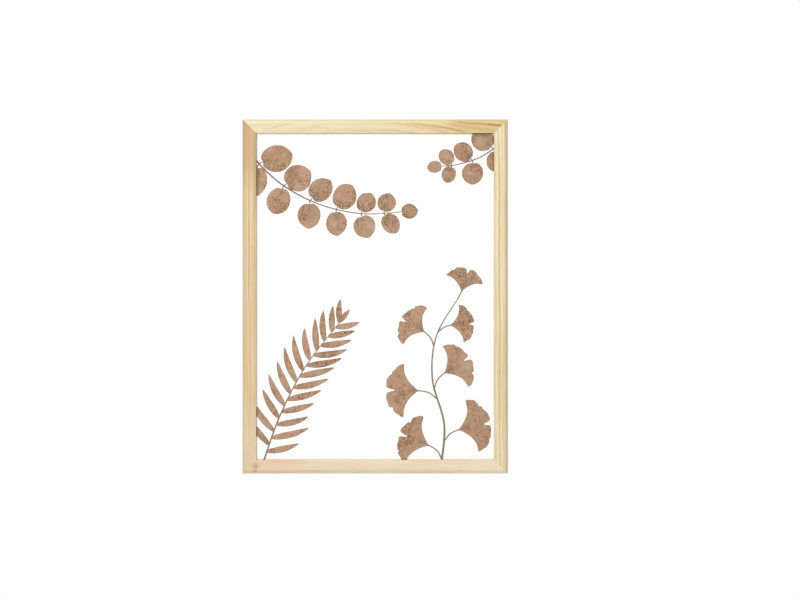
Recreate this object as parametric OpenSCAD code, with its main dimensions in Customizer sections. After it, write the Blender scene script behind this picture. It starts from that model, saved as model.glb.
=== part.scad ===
// Floating frame with a stretched canvas.
// Four mitred floater mouldings carry a canvas stretched on a keyed strainer.
// X runs to the right, Y from the front to the wall, Z up.
// The origin is the middle of the frame on the wall plane.

/* [Canvas] */
// Width of the stretched canvas
canvas_w = 240; // [180:10:300]
// Height of the stretched canvas
canvas_h = 330; // [260:10:420]
// Thickness of the primed cloth
canvas_t = 0.6; // [0.4:0.1:0.8]
// Width of the cloth turned over the back of the bars
turn_w = 33; // [30:1:35]

/* [Stretcher] */
// Width of a stretcher bar
bar_w = 38; // [36:1:42]
// Depth of a stretcher bar, front to back
bar_d = 18; // [17:0.5:22]
// Fall of a bar's front face from its lip to its inner edge
bar_fall = 2.5; // [1:0.5:3]
// Width of the raised lip that the cloth touches
lip_w = 5; // [3:0.5:8]

/* [Moulding] */
// Gap between the canvas and the moulding
float_gap = 0.5; // [0.5:0.5:3]
// Width of the moulding's front face
face_w = 14; // [12:0.5:18]
// Height of the canvas front below the moulding's front
recess = 2.8; // [1:0.2:5]
// Thickness of the ledge behind the canvas
ledge_t = 10; // [9:0.5:12]
// Width of the ledge behind the canvas
ledge_w = 20; // [18:1:21]
// Width of the eased front outer edge
edge_w = 4; // [2:0.5:5]
// Radius of the front inner edge
sight_r = 0.3; // [0.3:0.1:1.5]

/* [Hanging] */
// Distance of the hangers' pivots below the top of the frame
hanger_drop = 82; // [60:1:110]
// Length of a hanger strap
strap_l = 28; // [26:1:34]
// Width of a hanger strap
strap_w = 9; // [8:0.5:10]
// Radius of the ring's wire
wire_r = 1; // [0.8:0.1:1.05]
// Radius of the ring's bow
bow_r = 8.5; // [7.5:0.5:9]
// Thickness of the wall pads
pad_t = 4.2; // [4.2:0.2:5]
// Diameter of the wall pads
pad_d = 10; // [8:1:12]

/* [Hidden] */
$fn = 64;

// Moulding and opening
back_w = face_w + ledge_w;                       // width of the moulding's back
frame_d = ledge_t + bar_d + 2 * canvas_t + recess; // depth of the moulding
edge_c = edge_w * cos(22.5) / (cos(22.5) - sin(22.5)); // distance of the edge arc's centre from both faces
out_w = canvas_w + 2 * (float_gap + face_w);
out_h = canvas_h + 2 * (float_gap + face_w);
y_back = -pad_t;                                 // back of the moulding
y_seat = y_back - ledge_t;                       // front of the ledge
y_bar = y_seat - canvas_t;                       // back of the stretcher bars
y_face = y_bar - bar_d;                          // front of the bars' lip

// Strainer
str_w = canvas_w - 2 * canvas_t;
str_h = canvas_h - 2 * canvas_t;
lay = [5, 9, 13];                                // back of tongue 1, between the tongues, front of tongue 2
key_in = 8;                                      // how far a key stands out of its slot
key_gap = 4;                                     // free room past a key's thin end
key_root = 1.5;                                  // slot width at its blind end
key_taper = 4 / 30;

// V-nails: distance of the apex from the outer face, leg length, thickness, height
v_at = [8.5, 26.5];
v_leg = 5;
v_t = 0.5;
v_h = 9;

// Screws through the ledge into the strainer
fix_in = 24;                                     // from the moulding's outer face
fix_z = [-55, 55];
fix_head_r = 3.6;
fix_r = 1.75;
fix_l = 21;

// Hangers
hang_x = out_w / 2 - back_w / 2;
hang_z = out_h / 2 - hanger_drop;
strap_t = 0.8;                                   // one layer; the strap is folded double
bore_r = wire_r + 0.08;
loop_r = bore_r + strap_t;
y_pivot = y_back + loop_r;
hole_z = [-7, -20.5];                            // screw holes below the pivot
hs_r = 1.5;
hs_head_r = 2.9;
hs_l = 9;
bend_r = 2.5;                                    // ring's lower corners
side_l = 1.5;                                    // straight part of the ring's sides
hang_tilt = 4.5;                                 // the ring hangs this far off the vertical, on its strap

pine = [0.93, 0.86, 0.68];
raw_pine = [0.88, 0.76, 0.56];
zinc = [0.78, 0.79, 0.8];

// ---------- moulding ----------

// Cross-section: x runs inward from the outer face, y runs back from the front (0 is the back).
module moulding_profile() {
    difference() {
        union() {
            translate([0, -frame_d]) square([face_w, frame_d]);
            translate([0, -ledge_t]) square([back_w, ledge_t]);
        }
        // eased front outer edge, a shallow arc that leaves a soft arris on both sides
        difference() {
            translate([-1, -frame_d - 1]) square([edge_w + 1, edge_w + 1]);
            translate([edge_c, edge_c - frame_d]) circle(edge_c / cos(22.5));
        }
        // eased front inner edge
        difference() {
            translate([face_w - sight_r, -frame_d - 1]) square([sight_r + 1, sight_r + 1]);
            translate([face_w - sight_r, sight_r - frame_d]) circle(sight_r);
        }
        // eased back outer edge
        polygon([[-1, 1], [1.8, 1], [-1, -1.8]]);
        // eased ledge edges
        polygon([[back_w - 0.8, 1], [back_w + 1, 1], [back_w + 1, -1.8]]);
        polygon([[back_w + 1, -ledge_t + 1.6], [back_w + 1, -ledge_t - 1], [back_w - 1.6, -ledge_t - 1]]);
    }
}

// A moulding of outer length l whose outer face lies at z = h, mitred at both ends.
module moulding(l, h) {
    intersection() {
        translate([0, y_back, h]) rotate([0, 90, 0])
            linear_extrude(l, center = true) moulding_profile();
        rotate([90, 0, 0])
            linear_extrude(frame_d + pad_t + 2)
                polygon([[-l / 2, h], [l / 2, h], [l / 2 - back_w - 1, h - back_w - 1], [-l / 2 + back_w + 1, h - back_w - 1]]);
    }
}

// One V-nail with its apex at a distance d from both outer faces of the upper right corner.
module v_nail(d) {
    translate([out_w / 2 - d, y_back, out_h / 2 - d]) rotate([90, 0, 0])
        linear_extrude(v_h) {
            translate([-v_t / 2, -v_t / 2]) square([v_leg, v_t]);
            translate([-v_t / 2, -v_t / 2]) square([v_t, v_leg]);
        }
}

module all_v_nails() {
    for (sx = [0, 1], sz = [0, 1], d = v_at)
        mirror([sx, 0, 0]) mirror([0, 0, sz]) v_nail(d);
}

// Axes of the screws that hold the canvas: [x, z]
fix_pts = concat(
    [for (z = fix_z) [out_w / 2 - fix_in, z]],
    [for (z = fix_z) [fix_in - out_w / 2, z]],
    [[0, out_h / 2 - fix_in], [0, fix_in - out_h / 2]]
);

// A rod along Y from y0 towards the front, of length l.
module rod(x, z, y0, l, r) {
    translate([x, y0, z]) rotate([90, 0, 0]) cylinder(h = l, r = r);
}

module ledge_holes() {
    for (p = fix_pts) {
        rod(p[0], p[1], y_back + 1, ledge_t + 2, fix_r + 0.35);
        translate([p[0], y_back, p[1]]) rotate([90, 0, 0])
            cylinder(h = fix_head_r - fix_r + 0.2, r1 = fix_head_r + 0.2, r2 = fix_r);
    }
}

module hanger_pilots() {
    for (s = [-1, 1], dz = hole_z)
        rod(s * hang_x, hang_z + dz, y_back + 1, hs_l - 2 * strap_t + 1, hs_r);
}

module top_rail() {
    color(pine) difference() {
        moulding(out_w, out_h / 2);
        all_v_nails();
        ledge_holes();
    }
}

module bottom_rail() {
    color(pine) difference() {
        mirror([0, 0, 1]) moulding(out_w, out_h / 2);
        all_v_nails();
        ledge_holes();
    }
}

module right_stile() {
    color(pine) difference() {
        rotate([0, 90, 0]) moulding(out_h, out_w / 2);
        all_v_nails();
        ledge_holes();
        hanger_pilots();
    }
}

module left_stile() {
    color(pine) difference() {
        rotate([0, -90, 0]) moulding(out_h, out_w / 2);
        all_v_nails();
        ledge_holes();
        hanger_pilots();
    }
}

module corner_v_nails() {
    color([0.35, 0.36, 0.38]) all_v_nails();
}

// ---------- strainer ----------

// Cross-section of a bar: x runs inward from its outer edge, y from its back (0) to the front.
module bar_profile() {
    difference() {
        polygon([[0, 0], [bar_w, 0], [bar_w, -(bar_d - bar_fall)], [lip_w, -bar_d + 0.35], [lip_w - 1.2, -bar_d], [0, -bar_d]]);
        difference() {
            translate([-1, -bar_d - 1]) square([2.2, 2.2]);
            translate([1.2, 1.2 - bar_d]) circle(1.2);
        }
    }
}

// A bar of outer length l whose outer edge lies at z = h, mitred at both ends.
module bar(l, h) {
    intersection() {
        translate([0, y_bar, h]) rotate([0, 90, 0])
            linear_extrude(l, center = true) bar_profile();
        rotate([90, 0, 0])
            linear_extrude(frame_d + pad_t)
                polygon([[-l / 2, h], [l / 2, h], [l / 2 - bar_w - 1, h - bar_w - 1], [-l / 2 + bar_w + 1, h - bar_w - 1]]);
    }
}

// Corner square of one tongue layer, at the +x end of a bar that lies along X.
module corner_block(l, h, a, b, grow = 0) {
    translate([l / 2 - bar_w, y_bar - b, h - bar_w])
        cube([bar_w + grow, b - a, bar_w + grow]);
}

// Tapered key slot in the end of a bar along X, beside the corner square.
module key_slot(l, h, a, b) {
    translate([l / 2 - bar_w, y_bar - a, h]) rotate([90, 0, 0]) linear_extrude(b - a)
        polygon([
            [0.01, -8],
            [-key_root, -8],
            [-key_root - key_taper * (bar_w - 8), -bar_w],
            [-key_root - key_taper * (bar_w - 7), -bar_w - 1],
            [0.01, -bar_w - 1]
        ]);
}

// The key that sits in that slot, with its thick end standing into the opening.
module key(l, h, a, b) {
    color([0.9, 0.82, 0.66])
    translate([l / 2 - bar_w, y_bar - a - 0.1, h]) rotate([90, 0, 0]) linear_extrude(b - a - 0.2)
        polygon([
            [0, -8 - key_gap],
            [-key_root - key_taper * key_gap, -8 - key_gap],
            [-key_root - key_taper * (bar_w + key_in - 8), -bar_w - key_in],
            [0, -bar_w - key_in]
        ]);
}

// A bar with its tongue between depths ta and tb, and its slot between sa and sb.
module joined_bar(l, h, ta, tb, sa, sb) {
    difference() {
        union() {
            bar(l, h);
            for (s = [0, 1]) mirror([s, 0, 0])
                intersection() {
                    corner_block(l, h, ta, tb);
                    translate([-l / 2, -100, h - bar_w]) cube([l - 1, 200, bar_w]);
                }
        }
        for (s = [0, 1]) mirror([s, 0, 0]) {
            corner_block(l, h, sa, sb, 1);
            key_slot(l, h, sa, sb);
        }
    }
}

module bar_pilots() {
    for (p = fix_pts) rod(p[0], p[1], y_back, fix_l + 0.2, fix_r);
}

module stretcher_bar_top() {
    color(raw_pine) difference() {
        joined_bar(str_w, str_h / 2, lay[0], lay[1], lay[1], lay[2]);
        bar_pilots();
    }
}

module stretcher_bar_bottom() {
    color(raw_pine) difference() {
        mirror([0, 0, 1]) joined_bar(str_w, str_h / 2, lay[0], lay[1], lay[1], lay[2]);
        bar_pilots();
    }
}

module stretcher_bar_right() {
    color(raw_pine) difference() {
        rotate([0, 90, 0]) joined_bar(str_h, str_w / 2, lay[1], lay[2], lay[0], lay[1]);
        bar_pilots();
    }
}

module stretcher_bar_left() {
    color(raw_pine) difference() {
        rotate([0, -90, 0]) joined_bar(str_h, str_w / 2, lay[1], lay[2], lay[0], lay[1]);
        bar_pilots();
    }
}

// The two keys of the upper right corner.
module corner_keys() {
    key(str_w, str_h / 2, lay[1], lay[2]);
    // the other key lies in the upright bar: the same shape, mirrored across the corner's diagonal
    mirror([0, 0, 1]) rotate([0, 90, 0]) key(str_h, str_w / 2, lay[0], lay[1]);
}

module corner_keys_top_right() { corner_keys(); }
module corner_keys_top_left() { mirror([1, 0, 0]) corner_keys(); }
module corner_keys_bottom_right() { mirror([0, 0, 1]) corner_keys(); }
module corner_keys_bottom_left() { mirror([1, 0, 0]) mirror([0, 0, 1]) corner_keys(); }

// ---------- canvas ----------

module slab(w, h, y0, t) {
    translate([-w / 2, y0 - t, -h / 2]) cube([w, t, h]);
}

module canvas_face() {
    color("white") slab(canvas_w, canvas_h, y_face, canvas_t);
}

module canvas_turned_edge() {
    color([0.93, 0.91, 0.86]) difference() {
        slab(canvas_w, canvas_h, y_seat, bar_d + canvas_t);
        slab(str_w, str_h, y_bar, bar_d + 1);
        slab(canvas_w - 2 * turn_w, canvas_h - 2 * turn_w, y_seat + 1, canvas_t + 2);
        for (p = fix_pts) rod(p[0], p[1], y_back, fix_l, fix_r);
    }
}

// A staple lying along X at z = 0, its crown on the cloth's back.
module staple() {
    translate([-5.5, y_seat, -0.6]) cube([11, 0.6, 1.2]);
    for (s = [-1, 1]) translate([s * 5.05 - 0.45, y_seat - 6.5, -0.6]) cube([0.9, 6.6, 1.2]);
}

staple_in = 27;                                  // from the canvas edge
staple_x = [for (i = [-2:2]) i * 36];
staple_z = [for (i = [-3:3]) i * 36];

module canvas_staples() {
    color(zinc) {
        for (s = [0, 1], x = staple_x) mirror([0, 0, s])
            translate([x, 0, canvas_h / 2 - staple_in]) staple();
        for (s = [-1, 1], z = staple_z) rotate([0, s * 90, 0])
            translate([z, 0, canvas_w / 2 - staple_in]) staple();
    }
}

// ---------- fasteners ----------

// Cross recess of half-length a, for a head whose top lies at y = 0.
module cross(a, w, t) {
    for (r = [0, 90]) rotate([0, r, 0]) translate([-a, -t, -w / 2]) cube([2 * a, t + 1, w]);
}

module canvas_fixing_screws() {
    color([0.72, 0.62, 0.36]) for (p = fix_pts) difference() {
        union() {
            rod(p[0], p[1], y_back - 0.2, fix_l - 0.2, fix_r);
            translate([p[0], y_back - 0.2, p[1]]) rotate([90, 0, 0])
                cylinder(h = fix_head_r - fix_r, r1 = fix_head_r, r2 = fix_r);
        }
        translate([p[0], y_back - 0.2, p[1]]) cross(2, 0.8, 1.6);
    }
}

module hanger_screws(s) {
    color(zinc) for (dz = hole_z) difference() {
        union() {
            rod(s * hang_x, hang_z + dz, y_back + 2 * strap_t, hs_l, hs_r);
            rod(s * hang_x, hang_z + dz, y_back + 2 * strap_t + 0.9, 0.9, hs_head_r);
            translate([s * hang_x, y_back + 2 * strap_t + 0.9, hang_z + dz]) rotate([-90, 0, 0])
                cylinder(h = 0.8, r1 = hs_head_r, r2 = hs_head_r - 0.9);
        }
        translate([s * hang_x, y_back + 2 * strap_t + 1.7, hang_z + dz]) cross(1.5, 0.7, 1.1);
    }
}

module hanger_screws_left() { hanger_screws(-1); }
module hanger_screws_right() { hanger_screws(1); }

// ---------- hangers ----------

module hanger_strap(s) {
    color(zinc) translate([s * hang_x, 0, hang_z]) difference() {
        union() {
            // two layers of strip with a round end
            translate([0, y_back, 0]) rotate([-90, 0, 0]) linear_extrude(2 * strap_t) {
                translate([-strap_w / 2, 0]) square([strap_w, strap_l - strap_w / 2]);
                translate([0, strap_l - strap_w / 2]) circle(strap_w / 2);
            }
            // loop round the ring's bar
            translate([-strap_w / 2, y_pivot, 0]) rotate([0, 90, 0]) cylinder(h = strap_w, r = loop_r);
        }
        translate([-strap_w, y_pivot, 0]) rotate([0, 90, 0]) cylinder(h = 2 * strap_w, r = bore_r);
        for (dz = hole_z) rod(0, dz, y_back + 5, 10, hs_r + 0.2);
    }
}

module hanger_strap_left() { hanger_strap(-1); }
module hanger_strap_right() { hanger_strap(1); }

// Bend of the ring's wire in the XZ plane, centred on the origin, from angle a0 to a1.
module bend(r, a0, a1) {
    rotate([90, 0, 0]) rotate([0, 0, a0]) rotate_extrude(angle = a1 - a0) translate([r, 0]) circle(wire_r);
}

module hanger_ring(s) {
    bar_half = bow_r - bend_r;
    color(zinc) translate([s * hang_x, y_pivot, hang_z]) rotate([180 + hang_tilt, 0, 0]) {
        translate([-bar_half, 0, 0]) rotate([0, 90, 0]) cylinder(h = 2 * bar_half, r = wire_r);
        translate([bar_half, 0, bend_r]) bend(bend_r, -90, 0);
        translate([-bar_half, 0, bend_r]) bend(bend_r, 180, 270);
        for (x = [-bow_r, bow_r]) translate([x, 0, bend_r]) cylinder(h = side_l, r = wire_r);
        translate([0, 0, bend_r + side_l]) bend(bow_r, 0, 180);
    }
}

module hanger_ring_left() { hanger_ring(-1); }
module hanger_ring_right() { hanger_ring(1); }

// ---------- wall pads ----------

module wall_pads() {
    color([0.86, 0.86, 0.84])
    for (sx = [-1, 1], sz = [-1, 1])
        translate([sx * hang_x, y_back, sz * (out_h / 2 - back_w / 2)]) rotate([-90, 0, 0]) {
            cylinder(h = pad_t - 1, r = pad_d / 2);
            translate([0, 0, pad_t - 1]) cylinder(h = 1, r1 = pad_d / 2, r2 = pad_d / 2 - 0.8);
        }
}

top_rail();
bottom_rail();
left_stile();
right_stile();
corner_v_nails();
stretcher_bar_top();
stretcher_bar_bottom();
stretcher_bar_left();
stretcher_bar_right();
corner_keys_top_left();
corner_keys_top_right();
corner_keys_bottom_left();
corner_keys_bottom_right();
canvas_face();
canvas_turned_edge();
canvas_staples();
canvas_fixing_screws();
hanger_strap_left();
hanger_strap_right();
hanger_ring_left();
hanger_ring_right();
hanger_screws_left();
hanger_screws_right();
wall_pads();
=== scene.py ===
"""Floating frame: pine floater mouldings round a stretched printed canvas, with its hanging hardware."""
import math
import random

import bmesh
import bpy
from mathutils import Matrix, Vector, noise
from mathutils.geometry import delaunay_2d_cdt, interpolate_bezier


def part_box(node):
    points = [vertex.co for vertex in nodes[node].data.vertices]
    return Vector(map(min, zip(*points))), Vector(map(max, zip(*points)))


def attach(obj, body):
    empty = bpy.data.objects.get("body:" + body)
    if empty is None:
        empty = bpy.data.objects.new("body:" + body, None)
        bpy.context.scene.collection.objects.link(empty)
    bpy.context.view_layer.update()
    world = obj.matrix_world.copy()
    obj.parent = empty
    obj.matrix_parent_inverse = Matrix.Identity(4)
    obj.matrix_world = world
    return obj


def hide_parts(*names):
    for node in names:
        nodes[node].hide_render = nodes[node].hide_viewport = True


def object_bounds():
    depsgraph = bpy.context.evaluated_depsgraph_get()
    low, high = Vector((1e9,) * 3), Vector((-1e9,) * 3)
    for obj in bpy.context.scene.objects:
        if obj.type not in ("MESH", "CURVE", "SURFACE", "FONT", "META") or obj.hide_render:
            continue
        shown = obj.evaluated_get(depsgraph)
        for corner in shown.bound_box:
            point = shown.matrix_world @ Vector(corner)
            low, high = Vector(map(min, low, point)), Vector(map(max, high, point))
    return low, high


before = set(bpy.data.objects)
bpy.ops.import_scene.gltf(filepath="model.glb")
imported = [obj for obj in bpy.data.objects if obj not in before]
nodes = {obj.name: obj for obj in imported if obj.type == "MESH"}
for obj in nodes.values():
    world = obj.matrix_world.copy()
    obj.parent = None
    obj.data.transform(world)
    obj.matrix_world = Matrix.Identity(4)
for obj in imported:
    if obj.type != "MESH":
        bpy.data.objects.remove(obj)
cad_lo, cad_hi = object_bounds()
MM = 0.001


# ------------------------------------------------------------------ helpers

def lin(r, g, b):
    """sRGB 0-255 to linear."""
    def f(c):
        c /= 255
        return c / 12.92 if c <= 0.04045 else ((c + 0.055) / 1.055) ** 2.4
    return (f(r), f(g), f(b), 1.0)


class Graph:
    """A small writer of shader nodes: each call adds a node and returns its output."""

    def __init__(self, name):
        self.mat = bpy.data.materials.new(name)
        self.mat.use_nodes = True
        self.nt = self.mat.node_tree
        self.nt.nodes.clear()
        out = self.nt.nodes.new("ShaderNodeOutputMaterial")
        self.bsdf = self.nt.nodes.new("ShaderNodeBsdfPrincipled")
        self.nt.links.new(self.bsdf.outputs[0], out.inputs[0])

    def put(self, sock, v):
        if isinstance(v, bpy.types.NodeSocket):
            self.nt.links.new(v, sock)
        elif v is not None:
            sock.default_value = v

    def set(self, **kw):
        for k, v in kw.items():
            self.put(self.bsdf.inputs[k.replace("_", " ")], v)

    def coord(self):
        """Object coordinates in millimetres."""
        c = self.nt.nodes.new("ShaderNodeTexCoord")
        return self.vec("SCALE", c.outputs["Object"], s=1000.0)

    def vec(self, op, a, b=None, s=None):
        n = self.nt.nodes.new("ShaderNodeVectorMath")
        n.operation = op
        self.put(n.inputs[0], a)
        if b is not None:
            self.put(n.inputs[1], b)
        if s is not None:
            self.put(n.inputs["Scale"], s)
        return n.outputs[1] if op in ("LENGTH", "DOT_PRODUCT", "DISTANCE") else n.outputs[0]

    def m(self, op, a, b=None, c=None, clamp=False):
        n = self.nt.nodes.new("ShaderNodeMath")
        n.operation = op
        n.use_clamp = clamp
        for i, v in enumerate((a, b, c)):
            if v is not None:
                self.put(n.inputs[i], v)
        return n.outputs[0]

    def xyz(self, v):
        n = self.nt.nodes.new("ShaderNodeSeparateXYZ")
        self.put(n.inputs[0], v)
        return n.outputs[0], n.outputs[1], n.outputs[2]

    def join(self, x, y, z):
        n = self.nt.nodes.new("ShaderNodeCombineXYZ")
        for i, v in enumerate((x, y, z)):
            self.put(n.inputs[i], v)
        return n.outputs[0]

    def noise(self, v, scale=1.0, detail=2.0, rough=0.5, dist=0.0):
        n = self.nt.nodes.new("ShaderNodeTexNoise")
        n.inputs["Scale"].default_value = scale
        n.inputs["Detail"].default_value = detail
        n.inputs["Roughness"].default_value = rough
        n.inputs["Distortion"].default_value = dist
        self.put(n.inputs["Vector"], v)
        return n.outputs[0]

    def white(self, v):
        n = self.nt.nodes.new("ShaderNodeTexWhiteNoise")
        n.noise_dimensions = "1D"
        self.put(n.inputs["W"], v)
        return n.outputs["Value"]

    def step(self, x, a, b, lo=0.0, hi=1.0):
        """Smooth step of x from a to b, giving lo to hi."""
        n = self.nt.nodes.new("ShaderNodeMapRange")
        n.interpolation_type = "SMOOTHSTEP"
        for i, v in enumerate((x, a, b, lo, hi)):
            self.put(n.inputs[i], v)
        return n.outputs[0]

    def lerp(self, x, a, b, lo, hi):
        n = self.nt.nodes.new("ShaderNodeMapRange")
        for i, v in enumerate((x, a, b, lo, hi)):
            self.put(n.inputs[i], v)
        return n.outputs[0]

    def mix(self, f, a, b, blend="MIX"):
        n = self.nt.nodes.new("ShaderNodeMix")
        n.data_type = "RGBA"
        n.blend_type = blend
        n.clamp_factor = True
        self.put(n.inputs[0], f)
        self.put(n.inputs[6], a)
        self.put(n.inputs[7], b)
        return n.outputs[2]

    def attr(self, name):
        n = self.nt.nodes.new("ShaderNodeAttribute")
        n.attribute_type = "GEOMETRY"
        n.attribute_name = name
        return n

    def bump(self, height, strength, dist):
        n = self.nt.nodes.new("ShaderNodeBump")
        n.inputs["Strength"].default_value = strength
        n.inputs["Distance"].default_value = dist
        self.put(n.inputs["Height"], height)
        self.put(self.bsdf.inputs["Normal"], n.outputs[0])
        return n.outputs[0]


def pine(name, axis, light, warm, late, pith, slope=(0.0, 0.0), spacing=3.0, wob=2.0, contrast=1.0,
         seed=0.0, knots=(), tones=(), streaks=(), arch=None, fade=None, lean=0.0, tint=1.0, rough=0.46, bump=0.00006, fibre=1.0):
    """Sawn pine whose growth rings are real cylinders round a pith line, so grain runs through each piece.
    pith and slope are across the face and in depth, in mm; knots are (along, across, half length, half width, colour, strength);
    tones are (along from, along to, colour, strength); streaks are (along, across, along, across, half width, colour,
    strength); arch is (along, length, slope), where the rings come nearest the face; fade is (along, contrast, along, contrast);
    lean is how far the pith moves across the face for each mm of depth."""
    g = Graph(name)
    x, y, z = g.xyz(g.coord())
    L, A, D = (x, z, y) if axis == "X" else (z, x, y)
    s = seed
    lo1 = g.noise(g.join(g.m("MULTIPLY_ADD", L, 0.009, s), g.m("MULTIPLY", A, 0.03), g.m("MULTIPLY", D, 0.03)), 1, 2)
    lo2 = g.noise(g.join(g.m("MULTIPLY_ADD", L, 0.011, s + 31.7), g.m("MULTIPLY", A, 0.03), g.m("MULTIPLY", D, 0.03)), 1, 2)
    hi1 = g.noise(g.join(g.m("MULTIPLY_ADD", L, 0.05, s + 7.3), g.m("MULTIPLY", A, 0.18), g.m("MULTIPLY", D, 0.18)), 1, 2)
    a = g.m("ADD", g.m("SUBTRACT", A, g.m("MULTIPLY_ADD", L, slope[0], pith[0])), g.m("MULTIPLY", g.m("SUBTRACT", lo1, 0.5), 6.0 * wob))
    d = g.m("ADD", g.m("SUBTRACT", D, g.m("MULTIPLY_ADD", L, slope[1], pith[1])), g.m("MULTIPLY", g.m("SUBTRACT", lo2, 0.5), 6.0 * wob))
    if arch:
        q = g.m("SUBTRACT", L, arch[0])
        d = g.m("ADD", d, g.m("MULTIPLY", g.m("SQRT", g.m("MULTIPLY_ADD", q, q, arch[1] ** 2)), arch[2]))
    if lean:
        a = g.m("ADD", a, g.m("MULTIPLY", g.m("SUBTRACT", D, front_y / MM), lean))
    r = g.m("SQRT", g.m("ADD", g.m("MULTIPLY", a, a), g.m("MULTIPLY", d, d)))
    r = g.m("ADD", r, g.m("MULTIPLY", g.m("SUBTRACT", hi1, 0.5), 1.2))
    masks = []
    for (kl, ka, rl, ra, col, st) in knots:
        dl = g.m("DIVIDE", g.m("SUBTRACT", L, kl), rl)
        da = g.m("DIVIDE", g.m("SUBTRACT", A, ka), ra)
        dist = g.m("SQRT", g.m("ADD", g.m("MULTIPLY", dl, dl), g.m("MULTIPLY", da, da)))
        flow = g.step(dist, 2.6, 0.2)
        r = g.m("ADD", r, g.m("MULTIPLY", flow, 1.5 * ra))
        masks.append((g.step(g.m("ADD", dist, g.m("MULTIPLY", g.m("SUBTRACT", hi1, 0.5), 0.6)), 1.0, 0.25), col, st))
    t = g.m("DIVIDE", r, spacing)
    t = g.m("ADD", t, g.m("MULTIPLY", g.noise(g.join(g.m("MULTIPLY", t, 0.45), s, 0.0), 1, 1), 1.6))
    f = g.m("FRACT", t)
    ring = g.white(g.m("FLOOR", t))
    band = g.m("MULTIPLY", g.step(f, 0.35, 0.9), g.step(f, 1.0, 0.93))
    band = g.m("MULTIPLY", band, g.lerp(ring, 0, 1, 0.35, 1.0))
    tone = g.noise(g.join(g.m("MULTIPLY_ADD", L, 0.012, s + 3.1), g.m("MULTIPLY", A, 0.09), g.m("MULTIPLY", D, 0.09)), 1, 3, 0.55)
    fib = g.noise(g.join(g.m("MULTIPLY_ADD", L, 0.035, s), g.m("MULTIPLY", A, 1.5), g.m("MULTIPLY", D, 1.5)), 1, 4, 0.65)
    pore = g.noise(g.join(g.m("MULTIPLY_ADD", L, 0.09, s + 11.0), g.m("MULTIPLY", A, 2.6), g.m("MULTIPLY", D, 2.6)), 1, 1)
    pore = g.step(pore, 0.66, 0.80)
    col = g.mix(g.step(tone, 0.34, 0.70), light, warm)
    for (l0, l1, c, st) in tones:
        col = g.mix(g.m("MULTIPLY", g.step(L, l0, l1), st), col, c)
    rosy = g.noise(g.join(g.m("MULTIPLY_ADD", L, 0.030, s + 61.0), g.m("MULTIPLY", A, 0.16), g.m("MULTIPLY", D, 0.05)), 1, 2)
    col = g.mix(g.m("MULTIPLY", g.step(rosy, 0.52, 0.72), 0.8 * tint), col, g.mix(1.0, col, (1.01, 0.955, 0.93, 1), "MULTIPLY"))
    col = g.mix(g.m("MULTIPLY", g.step(rosy, 0.48, 0.28), 0.8 * tint), col, g.mix(1.0, col, (0.985, 1.0, 0.90, 1), "MULTIPLY"))
    amount = g.lerp(L, fade[0], fade[2], fade[1], fade[3]) if fade else contrast
    col = g.mix(g.m("MULTIPLY", band, amount), col, late, "MIX")
    for (l0, a0, l1, a1, w, c, st) in streaks:
        at = g.lerp(L, l0, l1, 0.0, 1.0)
        line = g.m("ADD", g.lerp(L, l0, l1, a0, a1), g.m("MULTIPLY", g.m("SUBTRACT", hi1, 0.5), 1.6))
        off = g.m("DIVIDE", g.m("ABSOLUTE", g.m("SUBTRACT", A, line)), w)
        ends = g.m("MULTIPLY", g.step(at, 0.0, 0.22), g.step(at, 1.0, 0.86))
        col = g.mix(g.m("MULTIPLY", g.m("MULTIPLY", g.step(off, 1.0, 0.0), ends), st), col, c)
    col = g.mix(g.m("MULTIPLY", g.step(fib, 0.45, 0.75), 0.30 * fibre), col, g.mix(1.0, col, (0.80, 0.70, 0.54, 1), "MULTIPLY"))
    col = g.mix(g.m("MULTIPLY", g.step(fib, 0.45, 0.22), 0.22 * fibre), col, g.mix(1.0, col, (1.08, 1.08, 1.06, 1), "MULTIPLY"))
    col = g.mix(g.m("MULTIPLY", pore, 0.35 * fibre), col, g.mix(1.0, col, (0.66, 0.50, 0.34, 1), "MULTIPLY"))
    for mask, kc, st in masks:
        col = g.mix(g.m("MULTIPLY", mask, st), col, kc)
    h = g.m("ADD", g.m("MULTIPLY", band, 0.45), g.m("ADD", g.m("MULTIPLY", fib, 0.8), g.m("MULTIPLY", pore, -0.7)))
    g.bump(h, 0.55, bump)
    g.set(Base_Color=col, Roughness=g.m("ADD", g.lerp(fib, 0.2, 0.8, rough - 0.07, rough + 0.07), g.m("MULTIPLY", band, -0.05)))
    g.set(Specular_IOR_Level=0.35)
    return g.mat


def metal(name, base, tint, rough=(0.22, 0.42), seed=0.0, scratch=0.00001, scale=1.0):
    g = Graph(name)
    p = g.coord()
    x, y, z = g.xyz(p)
    cloud = g.noise(g.vec("ADD", p, (seed, seed, seed)), 0.35 * scale, 3, 0.6)
    fine = g.noise(p, 3.5 * scale, 3, 0.6)
    line = g.noise(g.join(g.m("MULTIPLY", x, 0.5), g.m("MULTIPLY", y, 6.0), g.m("MULTIPLY", z, 0.5)), 1.4, 2)
    spots = g.step(g.noise(p, 1.7 * scale, 2), 0.62, 0.74)
    col = g.mix(g.step(cloud, 0.35, 0.65), base, tint)
    col = g.mix(g.m("MULTIPLY", spots, 0.35), col, g.mix(1.0, col, (0.72, 0.72, 0.74, 1), "MULTIPLY"))
    g.set(Base_Color=col, Metallic=1.0)
    g.set(Roughness=g.m("ADD", g.lerp(cloud, 0.3, 0.7, rough[0], rough[1]), g.m("MULTIPLY", g.m("SUBTRACT", fine, 0.5), 0.16)))
    g.bump(g.m("ADD", g.m("MULTIPLY", fine, 0.6), g.m("MULTIPLY", line, 0.4)), 0.5, scratch)
    return g.mat


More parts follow.
